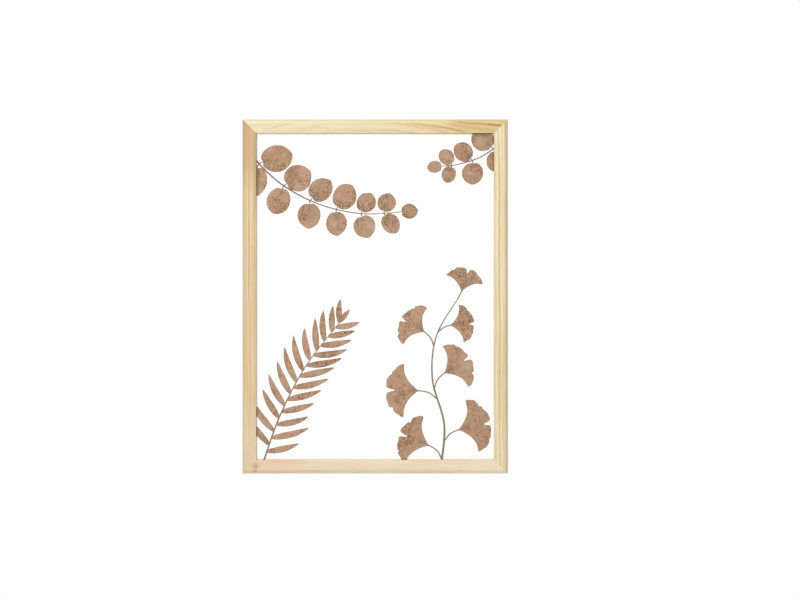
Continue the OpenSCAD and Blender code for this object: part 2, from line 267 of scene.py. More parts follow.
def beech(name, seed):
    g = Graph(name)
    x, y, z = g.xyz(g.coord())
    q = g.m("ADD", x, z)
    fib = g.noise(g.join(g.m("MULTIPLY_ADD", x, 0.6, seed), g.m("MULTIPLY", y, 2.2), g.m("MULTIPLY", z, 0.6)), 1, 3)
    fleck = g.step(g.noise(g.join(g.m("MULTIPLY", x, 1.3), g.m("MULTIPLY", y, 5.0), g.m("MULTIPLY", z, 1.3)), 1, 1), 0.60, 0.70)
    col = g.mix(g.step(fib, 0.3, 0.7), lin(222, 192, 150), lin(205, 168, 122))
    col = g.mix(g.m("MULTIPLY", fleck, 0.5), col, lin(160, 116, 76))
    saw = g.noise(g.join(g.m("MULTIPLY", q, 1.6), g.m("MULTIPLY", y, 0.2), 0.0), 1, 2)
    g.set(Base_Color=col, Roughness=g.lerp(fib, 0, 1, 0.62, 0.80))
    g.bump(g.m("ADD", fib, g.m("MULTIPLY", saw, 0.7)), 0.6, 0.0001)
    return g.mat


def rubber(name):
    g = Graph(name)
    p = g.coord()
    fine = g.noise(p, 4.0, 3, 0.6)
    dirt = g.noise(p, 0.5, 3, 0.6)
    col = g.mix(g.step(dirt, 0.4, 0.75), lin(222, 221, 214), lin(204, 202, 193))
    g.set(Base_Color=col, Roughness=g.lerp(fine, 0.2, 0.8, 0.55, 0.75))
    g.bump(fine, 0.4, 0.00008)
    return g.mat


def weave(g, u, v, pitch, wobble):
    """Height and over/under of a plain weave with a thread every pitch mm."""
    wu = g.m("MULTIPLY_ADD", g.m("SUBTRACT", wobble, 0.5), 0.7, g.m("DIVIDE", u, pitch))
    wv = g.m("MULTIPLY_ADD", g.m("SUBTRACT", wobble, 0.5), -0.6, g.m("DIVIDE", v, pitch))
    su = g.m("SINE", g.m("MULTIPLY", wu, math.pi))
    sv = g.m("SINE", g.m("MULTIPLY", wv, math.pi))
    over = g.step(g.m("MULTIPLY", su, sv), -0.12, 0.12)
    hu = g.m("ABSOLUTE", su)
    hv = g.m("ABSOLUTE", sv)
    n = g.nt.nodes.new("ShaderNodeMix")
    g.put(n.inputs[0], over)
    g.put(n.inputs[2], hu)
    g.put(n.inputs[3], hv)
    return n.outputs[0], over


def canvas_front(name):
    """Primed white cotton with a matt print. The attribute print holds ink, tone and inside of each leaf."""
    g = Graph(name)
    p = g.coord()
    x, y, z = g.xyz(p)
    u = g.m("ADD", x, g.m("MULTIPLY", y, 0.35))
    v = g.m("ADD", z, g.m("MULTIPLY", y, 0.35))
    wob = g.noise(p, 0.22, 2)
    h, over = weave(g, u, v, 0.62, wob)
    slub_u = g.noise(g.join(g.m("MULTIPLY", u, 0.10), 0.0, g.m("MULTIPLY", v, 1.5)), 1, 2)
    slub_v = g.noise(g.join(g.m("MULTIPLY", u, 1.5), 5.0, g.m("MULTIPLY", v, 0.10)), 1, 2)
    cloud = g.noise(p, 0.02, 3)
    ground = g.mix(g.step(cloud, 0.3, 0.7), lin(254, 254, 253), lin(252, 252, 250))
    # painted shade: the white ground is darkened a little where the weave is low, in the hollows between threads
    ground = g.mix(g.m("MULTIPLY", g.step(h, 0.45, 0.05), 0.10), ground, lin(214, 212, 206))
    pr = g.attr("print")
    sep = g.nt.nodes.new("ShaderNodeSeparateColor")
    g.put(sep.inputs[0], pr.outputs["Color"])
    ink, tone, inside = sep.outputs[0], sep.outputs[1], sep.outputs[2]
    # the sacking look of the leaves: coarse threads both ways, broken by blots and grit
    bu = g.noise(g.join(g.m("MULTIPLY", u, 0.16), 2.0, g.m("MULTIPLY", v, 0.60)), 1, 2, 0.7)
    bv = g.noise(g.join(g.m("MULTIPLY", u, 0.60), 9.0, g.m("MULTIPLY", v, 0.12)), 1, 2, 0.7)
    burl = g.m("MAXIMUM", g.step(bu, 0.52, 0.62), g.step(bv, 0.52, 0.62))
    knot = g.m("MULTIPLY", g.step(bu, 0.52, 0.42), g.step(bv, 0.52, 0.42))
    seed = g.m("MULTIPLY", tone, 40.0)
    blot = g.noise(g.join(g.m("MULTIPLY_ADD", u, 0.058, seed), tone, g.m("MULTIPLY", v, 0.058)), 1, 2, 0.5, 0.6)
    hue = g.noise(g.join(g.m("MULTIPLY_ADD", u, 0.045, seed), 17.0, g.m("MULTIPLY", v, 0.045)), 1, 2, 0.6)
    grit = g.noise(g.join(g.m("MULTIPLY", u, 0.62), tone, g.m("MULTIPLY", v, 0.50)), 1, 3, 0.85)
    patch = g.step(blot, 0.43, 0.52, 0.08, 1.0)
    base = g.mix(g.step(tone, 0.0, 1.0), lin(168, 134, 108), lin(180, 147, 122))
    base = g.mix(g.m("MULTIPLY", g.step(hue, 0.50, 0.70), 0.75), base, lin(170, 143, 110))
    base = g.mix(g.m("MULTIPLY", g.step(hue, 0.48, 0.30), 0.70), base, lin(182, 135, 113))
    col = g.mix(g.m("MULTIPLY", g.step(blot, 0.47, 0.66), 0.85), base, lin(147, 110, 85))
    col = g.mix(g.m("MULTIPLY", g.step(blot, 0.43, 0.26), 0.75), col, lin(193, 164, 139))
    col = g.mix(g.m("MULTIPLY", g.m("MULTIPLY", burl, patch), 0.55), col, lin(193, 157, 127))
    col = g.mix(g.m("MULTIPLY", g.m("MULTIPLY", knot, patch), 0.80), col, lin(116, 85, 62))
    rub = g.m("MULTIPLY_ADD", patch, 0.70, 0.30)
    col = g.mix(g.m("MULTIPLY", g.m("MULTIPLY", g.step(grit, 0.54, 0.62), 0.85), rub), col, lin(207, 161, 123))
    col = g.mix(g.m("MULTIPLY", g.m("MULTIPLY", g.step(grit, 0.46, 0.38), 0.90), rub), col, lin(113, 88, 66))
    col = g.mix(g.m("MULTIPLY", g.step(inside, 0.85, 0.0), 0.66), col, lin(132, 112, 92))
    col = g.mix(g.m("MULTIPLY", g.step(tone, 0.02, 0.0), 0.75), col, lin(130, 112, 96))
    col = g.mix(g.m("MULTIPLY", g.step(h, 0.35, 0.0), 0.22), col, lin(197, 173, 152))
    full = g.mix(ink, ground, col)
    g.set(Base_Color=full, Roughness=g.lerp(h, 0, 1, 0.90, 0.78))
    g.set(Specular_IOR_Level=0.25)
    hh = g.m("ADD", h, g.m("ADD", g.m("MULTIPLY", slub_u, 0.5), g.m("MULTIPLY", slub_v, 0.5)))
    g.bump(hh, 0.30, 0.00007)
    return g.mat


def canvas_raw(name):
    g = Graph(name)
    p = g.coord()
    x, y, z = g.xyz(p)
    wob = g.noise(p, 0.25, 2)
    h, over = weave(g, x, z, 0.62, wob)
    slub_u = g.noise(g.join(g.m("MULTIPLY", x, 0.06), 0.0, g.m("MULTIPLY", z, 1.6)), 1, 2)
    slub_v = g.noise(g.join(g.m("MULTIPLY", x, 1.6), 5.0, g.m("MULTIPLY", z, 0.06)), 1, 2)
    seed = g.step(g.noise(p, 1.3, 2, 0.7), 0.70, 0.76)
    cloud = g.noise(p, 0.015, 3, 0.6)
    col = g.mix(g.step(cloud, 0.3, 0.7), lin(226, 215, 190), lin(214, 201, 172))
    # painted shade: the cotton is darkened where the weave is low, in the hollows between threads
    col = g.mix(g.m("MULTIPLY", g.step(h, 0.5, 0.0), 0.45), col, lin(166, 150, 118))
    col = g.mix(g.m("MULTIPLY", g.step(slub_u, 0.55, 0.72), 0.30), col, lin(238, 229, 208))
    col = g.mix(g.m("MULTIPLY", g.step(slub_v, 0.55, 0.72), 0.25), col, lin(196, 180, 148))
    col = g.mix(g.m("MULTIPLY", seed, 0.6), col, lin(120, 92, 58))
    g.set(Base_Color=col, Roughness=g.lerp(h, 0, 1, 0.95, 0.85))
    g.set(Specular_IOR_Level=0.15)
    g.bump(g.m("ADD", h, g.m("ADD", g.m("MULTIPLY", slub_u, 0.6), g.m("MULTIPLY", slub_v, 0.6))), 0.5, 0.00012)
    return g.mat


def wear(node, mat, width=None, segments=2, angle=35):
    """Gives a CAD node its material and eases its edges."""
    o = nodes[node]
    o.data.materials.clear()
    o.data.materials.append(mat)
    if width:
        b = o.modifiers.new("eased_edges", "BEVEL")
        b.width = width
        b.segments = segments
        b.limit_method = "ANGLE"
        b.angle_limit = math.radians(angle)
        b.harden_normals = False
    return o


# ------------------------------------------------------------------ camera

front_y = cad_lo.y
PX = 1.0128 * MM                      # size of one of the 800 columns at the frame's front
cam_data = bpy.data.cameras.new("camera")
cam = bpy.data.objects.new("camera", cam_data)
bpy.context.scene.collection.objects.link(cam)
cam_data.sensor_width = 36.0
reach = 4.0
cam_data.lens = 36.0 * reach / (800 * PX)
cam.location = (24.8 * PX, front_y - reach, -3.5 * PX)
cam.rotation_euler = (math.radians(90), 0, 0)
cam_data.clip_start, cam_data.clip_end = 0.05, 50
bpy.context.scene.camera = cam


# ------------------------------------------------------------------ mouldings

pine_top = pine("pine_top_rail", "X", lin(227, 213, 180), lin(225, 206, 169), lin(194, 168, 116),
                pith=(152, -62), slope=(0.0, 0.0), spacing=4.4, wob=2.2, seed=2.0,
                arch=(-8, 42, 0.11), fade=(-60, 0.24, 70, 0.72), lean=0.6, tint=1.3,
                tones=[(10, 60, lin(225, 199, 146), 0.50), (62, 92, lin(208, 176, 117), 0.62)],
                knots=[(131.6, 174.6, 2.4, 1.7, lin(155, 96, 59), 0.85)],
                streaks=[(28, 177.5, 92, 167.2, 2.2, lin(202, 170, 107), 0.60),
                         (52, 174.5, 93, 166.5, 1.3, lin(181, 145, 84), 0.75),
                         (14, 177.0, 58, 168.0, 1.6, lin(210, 186, 124), 0.50),
                         (74, 177.3, 134, 173.0, 1.3, lin(173, 133, 76), 0.85),
                         (112, 174.0, 134, 172.6, 1.7, lin(169, 133, 78), 0.60),
                         (-118, 167.5, -84, 176.0, 1.8, lin(218, 196, 153), 0.60),
                         (-68, 174.5, -44, 168.5, 1.5, lin(212, 192, 148), 0.55),
                         (-30, 174.0, 2, 177.5, 1.4, lin(216, 196, 149), 0.45),
                         (-26, 167.2, 0, 166.6, 1.3, lin(202, 182, 140), 0.55)])
pine_bottom = pine("pine_bottom_rail", "X", lin(235, 218, 193), lin(230, 208, 181), lin(219, 189, 153),
                   pith=(-130, -10), slope=(0.01, -0.02), spacing=3.4, wob=1.6, contrast=0.22, seed=14.0, tint=1.2,
                   knots=[(-121.5, -171.6, 7.5, 6.0, lin(207, 174, 126), 0.75),
                          (-121.0, -172.2, 3.6, 3.0, lin(188, 147, 91), 0.70),
                          (-122.0, -177.0, 3.4, 1.6, lin(172, 127, 87), 0.65)],
                   tones=[(-52, -104, lin(223, 192, 160), 0.62)],
                   streaks=[(-112, -166.5, -70, -168.5, 1.8, lin(217, 184, 150), 0.50),
                            (-78, -176.0, -52, -176.6, 1.5, lin(209, 180, 148), 0.50)])
pine_left = pine("pine_left_stile", "Z", lin(223, 202, 167), lin(216, 189, 148), lin(194, 163, 116),
                 pith=(-160, -14), slope=(0.006, 0.01), spacing=2.3, wob=0.9, seed=25.0, tint=1.6,
                 fade=(-150, 0.45, 90, 0.95),
                 tones=[(96, 138, lin(198, 163, 124), 0.80), (-128, -160, lin(222, 202, 177), 0.60)],
                 # the first two streaks are painted shade: an olive darker band along the stile's inner edge, standing
                 # in for the shade on its inner side
                 streaks=[(60, -122.4, 176, -121.4, 1.7, lin(172, 156, 112), 0.80),
                          (-150, -121.9, 70, -122.0, 1.1, lin(184, 168, 126), 0.60),
                          (-20, -128.6, 128, -127.6, 0.8, lin(184, 153, 101), 0.62),
                          (-60, -131.6, 60, -130.8, 0.7, lin(188, 161, 109), 0.50),
                          (-130, -126.0, 10, -126.6, 0.8, lin(190, 165, 116), 0.50)])
pine_right = pine("pine_right_stile", "Z", lin(238, 223, 192), lin(232, 213, 174), lin(201, 177, 124),
                  pith=(178, -22), slope=(-0.006, 0.01), spacing=3.6, wob=0.8, contrast=0.80, seed=37.0, tint=1.3,
                  streaks=[(-170, 126.8, 178, 125.9, 0.8, lin(187, 164, 110), 0.62),
                           (-150, 124.2, 20, 123.4, 0.7, lin(203, 176, 126), 0.50),
                           (-176, 129.4, -20, 128.6, 0.7, lin(201, 176, 128), 0.50)])
for node, mat in (("top_rail", pine_top), ("bottom_rail", pine_bottom), ("left_stile", pine_left), ("right_stile", pine_right)):
    wear(node, mat, 0.22 * MM, 2)
wear("corner_v_nails", metal("nail_steel", lin(120, 122, 126), lin(96, 97, 102), (0.35, 0.5), 3.0))


# ------------------------------------------------------------------ strainer

bars = {
    "stretcher_bar_top": ("X", (140, 30), 2.4, 51.0, [(-38, 139, 5, 4, lin(140, 92, 54), 0.8)]),
    "stretcher_bar_bottom": ("X", (-120, 40), 2.9, 63.0, [(66, -150, 4, 3.2, lin(146, 98, 60), 0.7)]),
    "stretcher_bar_left": ("Z", (-85, 20), 2.2, 71.0, [(-96, -92, 7, 4.5, lin(138, 90, 52), 0.85)]),
    "stretcher_bar_right": ("Z", (140, -5), 3.2, 83.0, [(40, 97, 5, 3.6, lin(142, 94, 56), 0.8)]),
}
for node, (axis, pith, gap, seed, knots) in bars.items():
    wear(node, pine(node + "_wood", axis, lin(233, 208, 164), lin(222, 191, 142), lin(186, 142, 92), pith=pith,
                    slope=(0.02, -0.015), spacing=gap, wob=1.8, contrast=0.8, seed=seed, knots=knots, rough=0.66,
                    bump=0.00010, fibre=1.4), 0.3 * MM, 2)
for i, c in enumerate(("top_left", "top_right", "bottom_left", "bottom_right")):
    wear("corner_keys_" + c, beech("beech_" + c, 5.0 * i), 0.25 * MM, 2)


# ------------------------------------------------------------------ fittings

zinc = metal("zinc_plate", lin(208, 211, 214), lin(188, 192, 200), (0.24, 0.40), 9.0)
staple_mat = metal("staple_wire", lin(214, 214, 212), lin(190, 190, 190), (0.20, 0.34), 21.0)
yellow = metal("yellow_zinc", lin(206, 178, 112), lin(190, 164, 128), (0.24, 0.38), 33.0, scale=1.6)
wear("canvas_staples", staple_mat, 0.22 * MM, 3)
wear("canvas_fixing_screws", yellow, 0.06 * MM, 2)
for side in ("left", "right"):
    wear("hanger_strap_" + side, zinc, 0.16 * MM, 3)
    wear("hanger_ring_" + side, zinc)
    wear("hanger_screws_" + side, zinc, 0.08 * MM, 2)
wear("wall_pads", rubber("pad_rubber"), 0.35 * MM, 3)


# ------------------------------------------------------------------ the print

def smooth(points, n=14):
    """Catmull-Rom curve through the points."""
    p = [points[0]] + list(points) + [points[-1]]
    out = []
    for i in range(1, len(p) - 2):
        a, b, c, d = (Vector(q) for q in p[i - 1:i + 3])
        for k in range(n):
            t = k / n
            out.append(0.5 * (2 * b + (c - a) * t + (2 * a - 5 * b + 4 * c - d) * t * t + (3 * b - 3 * c + d - a) * t ** 3))
    out.append(Vector(points[-1]))
    return out


def rough_edge(poly, amp, seed):
    """Lets an outline waver, like ink on coarse cloth."""
    out = []
    n = len(poly)
    for i, q in enumerate(poly):
        a, b = poly[i - 1], poly[(i + 1) % n]
        nrm = Vector((b.y - a.y, a.x - b.x))
        if nrm.length:
            nrm.normalize()
        w = noise.noise(Vector((q.x * 0.45, q.y * 0.45, seed))) * 0.6 + noise.noise(Vector((q.x * 1.3, q.y * 1.3, seed + 9))) * 0.4
        out.append(q + nrm * w * amp)
    return out


def resample(poly, step):
    """Points every step mm along a closed outline, keeping its shape."""
    out = []
    n = len(poly)
    for i in range(n):
        a, b = poly[i], poly[(i + 1) % n]
        k = max(1, int(round((b - a).length / step)))
        out += [a.lerp(b, j / k) for j in range(k)]
    return out


def place(poly, at, ang, mirror=1):
    c, s = math.cos(ang), math.sin(ang)
    return [Vector((at[0] + q.x * c - q.y * mirror * s, at[1] + q.x * s + q.y * mirror * c)) for q in poly]


def round_leaf(r, rnd):
    """A coin-shaped leaf whose base is at the origin and whose tip points along +x."""
    sq = rnd.uniform(0.84, 0.98)
    tip = rnd.uniform(0.04, 0.10)
    ph = rnd.uniform(0, 6)
    pts = []
    for i in range(72):
        a = 2 * math.pi * i / 72
        b = (a + math.pi) % (2 * math.pi) - math.pi
        rr = r * (1 + tip * math.exp(-(b / 0.30) ** 2) - 0.12 * math.exp(-((abs(b) - math.pi) / 0.22) ** 2)
                  + 0.020 * math.cos(2 * a + ph) + 0.012 * math.cos(3 * a + 2 * ph))
        pts.append(Vector((r * 0.90 + rr * math.cos(a), rr * sq * math.sin(a))))
    return pts


def fan_leaf(r, rnd):
    """A ginkgo fan whose stalk end is at the origin and whose fan opens along +x."""
    spread = rnd.uniform(0.98, 1.14)
    ph = rnd.uniform(0, 6)
    cut = rnd.uniform(0.16, 0.30)
    skew = rnd.uniform(-0.08, 0.08)
    side = [(r * 0.90 * k / 15, spread * (0.66 + 0.34 * (k / 15) ** 2.2)) for k in range(1, 15)]
    pts = [Vector((-0.6, -0.7))] + [Vector((q * math.cos(a), -q * math.sin(a))) for q, a in side]
    for i in range(97):
        t = -1 + 2 * i / 96
        a = t * spread
        rr = r * (1 - 0.08 * abs(t) ** 6 + 0.018 * math.sin(9 * t + ph) + 0.008 * math.sin(25 * t + 2 * ph)
                  - cut * math.exp(-((t - skew) / 0.05) ** 2)
                  - 0.05 * math.exp(-((t + 0.52) / 0.04) ** 2) - 0.05 * math.exp(-((t - 0.56) / 0.04) ** 2))
        pts.append(Vector((rr * math.cos(a), rr * math.sin(a))))
    pts += [Vector((q * math.cos(a), q * math.sin(a))) for q, a in reversed(side)]
    pts.append(Vector((-0.6, 0.7)))
    return pts


def pinna(l, w, rnd):
    """A narrow frond blade, blunt at its base, from the origin along +x."""
    bend = rnd.uniform(0.03, 0.09)
    up, dn = [], []
    for i in range(15):
        t = i / 14
        half = w / 2 * (math.sin(math.pi * min(1, t * 0.94 + 0.06)) ** 0.62) * (1 - 0.35 * t)
        mid = bend * l * math.sin(math.pi * t * 0.8)
        up.append(Vector((l * t, mid + half)))
        dn.append(Vector((l * t, mid - half)))
    return dn + up[::-1]


def ribbon(path, w0, w1):
    a, b = [], []
    n = len(path)
    for i, q in enumerate(path):
        t = path[min(i + 1, n - 1)] - path[max(i - 1, 0)]
        nrm = Vector((-t.y, t.x)).normalized()
        w = (w0 + (w1 - w0) * i / (n - 1)) / 2
        a.append(q + nrm * w)
        b.append(q - nrm * w)
    return a + b[::-1]


def at_length(path, s):
    """Point and direction at a distance s along a path."""
    for a, b in zip(path, path[1:]):
        d = (b - a).length
        if s <= d and d > 0:
            return a.lerp(b, s / d), (b - a).normalized()
        s -= d
    return path[-1], (path[-1] - path[-2]).normalized()


def path_length(path):
    return sum((b - a).length for a, b in zip(path, path[1:]))


def botanical():
    """Shapes of the print in mm on the canvas: (outline, tone). Later shapes lie over earlier ones."""
    rnd = random.Random(7)
    shapes = []

    def add(poly, tone, amp=0.28, step=1.5):
        shapes.append((rough_edge(resample(poly, step), amp, rnd.random() * 50), tone))

    def twig(points, w0, w1):
        path = smooth(points)
        add(ribbon(path, w0, w1), 0.0, 0.10, 3.0)
        return path

    def leaf_tone():
        return rnd.uniform(0.1, 1.0)

    def eucalyptus(points, r0, r1, start, w0=1.9, w1=0.8):
        path = smooth(points)
        total = path_length(path)
        s = start
        leaves = []
        while s < total - 2:
            t = s / total
            p, d = at_length(path, s)
            r = r0 + (r1 - r0) * t
            for sgn in (1, -1):
                rr = r * rnd.uniform(0.90, 1.08)
                ang = math.atan2(d.y, d.x) + sgn * rnd.uniform(1.02, 1.28)
                q = p + Vector((math.cos(ang), math.sin(ang))) * rr * 0.28
                add(ribbon(smooth([p, p.lerp(q, 0.5) + d * 0.5, q, q + (q - p).normalized() * rr * 0.4], 5), 1.2, 1.0), 0.0, 0.05, 2.0)
                leaves.append((place(round_leaf(rr, rnd), q, ang), leaf_tone()))
            s += r * 2.04
        add(ribbon(path, w0, w1), 0.0, 0.10, 3.0)
        for poly, tone in leaves:
            add(poly, tone)
        p, d = at_length(path, total)
        add(place(round_leaf(r1 * 0.85, rnd), p - d * 0.8, math.atan2(d.y, d.x)), leaf_tone())

    def ginkgo(points, leaves, w0=2.4, w1=1.0):
        path = twig(points, w0, w1)
        total = path_length(path)
        for (f, turn, stalk, r) in leaves:
            p, d = at_length(path, total * f)
            base = math.atan2(d.y, d.x)
            a0, a1 = base + turn * 0.55, base + turn
            q1 = p + Vector((math.cos(a0), math.sin(a0))) * stalk * 0.5
            q2 = q1 + Vector((math.cos(a1), math.sin(a1))) * stalk * 0.5
            a2 = a1 + (0.18 if turn > 0 else -0.18)
            e = Vector((math.cos(a2), math.sin(a2)))
            add(ribbon(smooth([p, q1, q2, q2 + e * r * 0.30], 7), 1.4, 1.1), 0.0, 0.06, 2.0)
            add(place(fan_leaf(r, rnd), q2, a2), leaf_tone())

    def fern(points, l0, w0, gap, start):
        path = twig(points, 1.9, 0.7)
        total = path_length(path)
        s = start
        k = 0
        while s < total - 2:
            t = s / total
            p, d = at_length(path, s)
            size = math.sin(math.pi * min(1.0, 0.18 + 0.82 * (1 - t))) ** 0.55 if t > 0.28 else 0.72 + 0.28 * t / 0.28
            sgn = 1 if k % 2 else -1
            ang = math.atan2(d.y, d.x) + sgn * (1.02 - 0.42 * t)
            l = max(7.0, l0 * size * rnd.uniform(0.93, 1.05) * (1 - 0.30 * t))
            add(place(pinna(l, w0 * (0.65 + 0.35 * size), rnd), p - d * 0.2, ang, sgn), leaf_tone(), 0.20)
            s += gap * (1 - 0.25 * t)
            k += 1
        p, d = at_length(path, total)
        add(place(pinna(15, w0 * 0.75, rnd), p - d * 1.5, math.atan2(d.y, d.x)), leaf_tone(), 0.2)

    eucalyptus([(-132, 150), (-98, 116), (-58, 94), (-14, 84), (28, 86)], 17.5, 9.5, 20)
    eucalyptus([(134, 160), (108, 142), (84, 134), (66, 132)], 13.0, 8.5, 17, 1.6, 0.8)
    fern([(-116, -176), (-97, -122), (-70, -70), (-34, -24)], 45, 8.2, 7.6, 20)
    ginkgo([(66, -176), (70, -130), (58, -84), (62, -40), (84, -2)],
           [(0.06, 1.15, 20, 32), (0.16, -1.05, 20, 33), (0.40, 1.05, 22, 33), (0.46, -1.10, 20, 30),
            (0.70, 1.00, 18, 27), (0.78, -0.85, 15, 24), (0.995, 0.12, 9, 24)])
    return shapes


def clip(poly, hx, hz):
    """Cuts an outline to the rectangle."""
    def cut(pts, inside, cross):
        out = []
        for i, b in enumerate(pts):
            a = pts[i - 1]
            if inside(b):
                if not inside(a):
                    out.append(cross(a, b))
                out.append(b)
            elif inside(a):
                out.append(cross(a, b))
        return out

    for axis, lim, sgn in ((0, hx, 1), (0, hx, -1), (1, hz, 1), (1, hz, -1)):
        if not poly:
            break

        def inside(q):
            return q[axis] * sgn <= lim

        def cross(a, b):
            t = (lim * sgn - a[axis]) / (b[axis] - a[axis])
            return a.lerp(b, t)

        poly = cut(poly, inside, cross)
    return poly


def inside_poly(q, poly):
    c = False
    j = len(poly) - 1
    for i in range(len(poly)):
        a, b = poly[i], poly[j]
        if (a.y > q.y) != (b.y > q.y) and q.x < (b.x - a.x) * (q.y - a.y) / (b.y - a.y) + a.x:
            c = not c
        j = i
    return c


# ------------------------------------------------------------------ the canvas

lo_f, hi_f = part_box("canvas_face")
lo_t, hi_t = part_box("canvas_turned_edge")
HX, HZ = hi_f.x / MM, hi_f.z / MM          # half sizes of the stretched canvas
Y_FRONT = lo_f.y / MM + 0.02
Y_BACK = hi_t.y / MM - 0.02
TURN = 33.0
R_EDGE, R_BACK, R_PLAN = 0.45, 0.9, 0.6
BOW = 0.42                                # the cloth stands this far out along its front edge


def canvas_mesh():
    fx, fz = HX - R_EDGE, HZ - R_EDGE
    # outline of the flat front, with small round corners
    loop = []
    for cx, cz, a0 in ((1, 1, 0), (-1, 1, 90), (-1, -1, 180), (1, -1, 270)):
        for k in range(4):
            a = math.radians(a0 + 30 * k)
            loop.append(Vector((cx * (fx - R_PLAN) + R_PLAN * math.cos(a), cz * (fz - R_PLAN) + R_PLAN * math.sin(a))))
    loop = resample(loop, 6.0)
    pts = [Vector(q) for q in loop]
    edges = [(i, (i + 1) % len(loop)) for i in range(len(loop))]
    faces, tones, outlines = [], [], []
    rnd = random.Random(3)
    for poly, tone in botanical():
        poly = clip(poly, fx, fz)
        clean = []
        for q in poly:
            if not clean or (q - clean[-1]).length > 0.05:
                clean.append(q)
        if len(clean) > 2 and (clean[0] - clean[-1]).length < 0.05:
            clean.pop()
        if len(clean) < 4:
            continue
        if sum(a.cross(b) for a, b in zip(clean, clean[1:] + clean[:1])) < 0:
            clean.reverse()
        start = len(pts)
        pts += clean
        faces.append(list(range(start, start + len(clean))))
        tones.append(tone)
        outlines.append(clean)
    n_edge = len(pts)
    # points a millimetre inside each leaf, so that its edge can be printed darker
    for poly in outlines:
        lo = Vector((min(q.x for q in poly), min(q.y for q in poly)))
        hi = Vector((max(q.x for q in poly), max(q.y for q in poly)))
        if min(hi.x - lo.x, hi.y - lo.y) < 4:
            continue
        n = len(poly)
        for i in range(0, n, 2):
            a, b = poly[i - 1], poly[(i + 1) % n]
            nrm = Vector((a.y - b.y, b.x - a.x))
            if nrm.length < 1e-6:
                continue
            nrm.normalize()
            for sgn in (1, -1):
                q = poly[i] + nrm * sgn * 1.1
                if inside_poly(q, poly) and min((q - o).length for o in poly) > 0.75:
                    pts.append(q)
                    break
    # an even scatter over the cloth keeps the triangles well shaped
    for i in range(-23, 24):
        for j in range(-32, 33):
            pts.append(Vector((i * 5.0 + (j % 2) * 2.5 + rnd.uniform(-0.6, 0.6), j * 5.0 + rnd.uniform(-0.6, 0.6))))
    pts = [q for k, q in enumerate(pts) if k < n_edge or (abs(q.x) < fx - 1 and abs(q.y) < fz - 1)]
    v, e, f, ov, oe, of = delaunay_2d_cdt(pts, edges, faces, 0, 2e-2, True)
    is_edge = [any(k < n_edge for k in o) if o else True for o in ov]

    bm = bmesh.new()
    layer = bm.loops.layers.float_color.new("print")
    vs = [bm.verts.new((q.x * MM, Y_FRONT * MM, q.y * MM)) for q in v]
    for tri, src in zip(f, of):
        if len(set(tri)) < 3:
            continue
        a, b, c = (v[k] for k in tri)
        if abs((b - a).cross(c - a)) < 2e-3 and all(abs(q.x) > fx - 0.01 or abs(q.y) > fz - 0.01 for q in (a, b, c)):
            continue
        try:
            face = bm.faces.new([vs[k] for k in tri])
        except ValueError:
            continue
        ink = [k for k in src]
        tone = tones[max(ink)] if ink else 0.0
        for lp, k in zip(face.loops, tri):
            lp[layer] = (1.0 if ink else 0.0, tone, 0.0 if is_edge[k] else 1.0, 1.0)
    loose = [q for q in bm.verts if not q.link_faces]
    bmesh.ops.delete(bm, geom=loose, context="VERTS")
    bmesh.ops.dissolve_degenerate(bm, dist=0.02 * MM, edges=bm.edges)
    bmesh.ops.triangulate(bm, faces=[f for f in bm.faces if len(f.verts) > 3])
    bm.normal_update()
    for face in bm.faces:
        if face.normal.y > 0:
            face.normal_flip()

    # over the edge, down the side and round the back
    rows = []
    for k in range(1, 6):
        a = math.radians(18 * k)
        rows.append((R_EDGE * math.sin(a) + BOW * k / 5, Y_FRONT + R_EDGE * (1 - math.cos(a)), 1))
    depth = Y_BACK - Y_FRONT
    for k in range(1, 7):
        rows.append((R_EDGE + BOW * (1 - k / 6) ** 1.5, Y_FRONT + R_EDGE + (depth - R_EDGE - R_BACK) * k / 6, 1))
    for k in range(1, 5):
        a = math.radians(22.5 * k)
        rows.append((R_EDGE - R_BACK * (1 - math.cos(a)), Y_BACK - R_BACK + R_BACK * math.sin(a), 0))
    for inset in (3, 7, 11, 15, 19, 21, 23, 25, 27, 29, 31, TURN):
        rows.append((R_EDGE - inset, Y_BACK, 0))
    border = [ed for ed in bm.edges if len(ed.link_faces) == 1]
    ring = {}
    order = []
    for ed in border:
        lp = ed.link_faces[0].loops
        a = next(l for l in lp if l.edge == ed)
        order.append((a.vert, a.link_loop_next.vert, tuple(a[layer])))
    here = {q: q for pair in order for q in pair[:2]}
    flat = {q: (q.co.x / MM, q.co.z / MM) for q in here}
    for step, (out, y, keep) in enumerate(rows):
        there = {}
        for q in here:
            x, z = flat[q]
            sx, sz = x * (fx + out) / fx, z * (fz + out) / fz
            yy = y
            if out < -14:
                w = noise.noise(Vector((sx * 0.045, 3.0, sz * 0.045)))
                yy = y + max(0.0, 0.55 * (w + 0.25)) * min(1.0, (-14 - out) / 8)
                fray = noise.noise(Vector((sx * 0.35, 8.0, sz * 0.35))) * 0.9 if step == len(rows) - 1 else 0.0
                sx -= math.copysign(fray, sx) if abs(sx) / fx > abs(sz) / fz else 0
                sz -= math.copysign(fray, sz) if abs(sx) / fx <= abs(sz) / fz else 0
            there[q] = bm.verts.new((sx * MM, yy * MM, sz * MM))
        for a, b, col in order:
            face = bm.faces.new((here[b], here[a], there[a], there[b]))
            for lp in face.loops:
                lp[layer] = col if keep else (0, 0, 0, 1)
        here = there
    for face in bm.faces:
        face.smooth = True
    mesh = bpy.data.meshes.new("canvas_cloth")
    bm.to_mesh(mesh)
    bm.free()
    return mesh


cloth = bpy.data.objects.new("canvas_cloth", canvas_mesh())
bpy.context.scene.collection.objects.link(cloth)
cloth.data.materials.append(canvas_front("canvas_print"))
cloth.data.materials.append(canvas_raw("canvas_cotton"))
sol = cloth.modifiers.new("cloth_thickness", "SOLIDIFY")
sol.thickness = 0.5 * MM
sol.offset = -1.0
sol.material_offset = 1
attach(cloth, "frame")
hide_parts("canvas_face", "canvas_turned_edge")


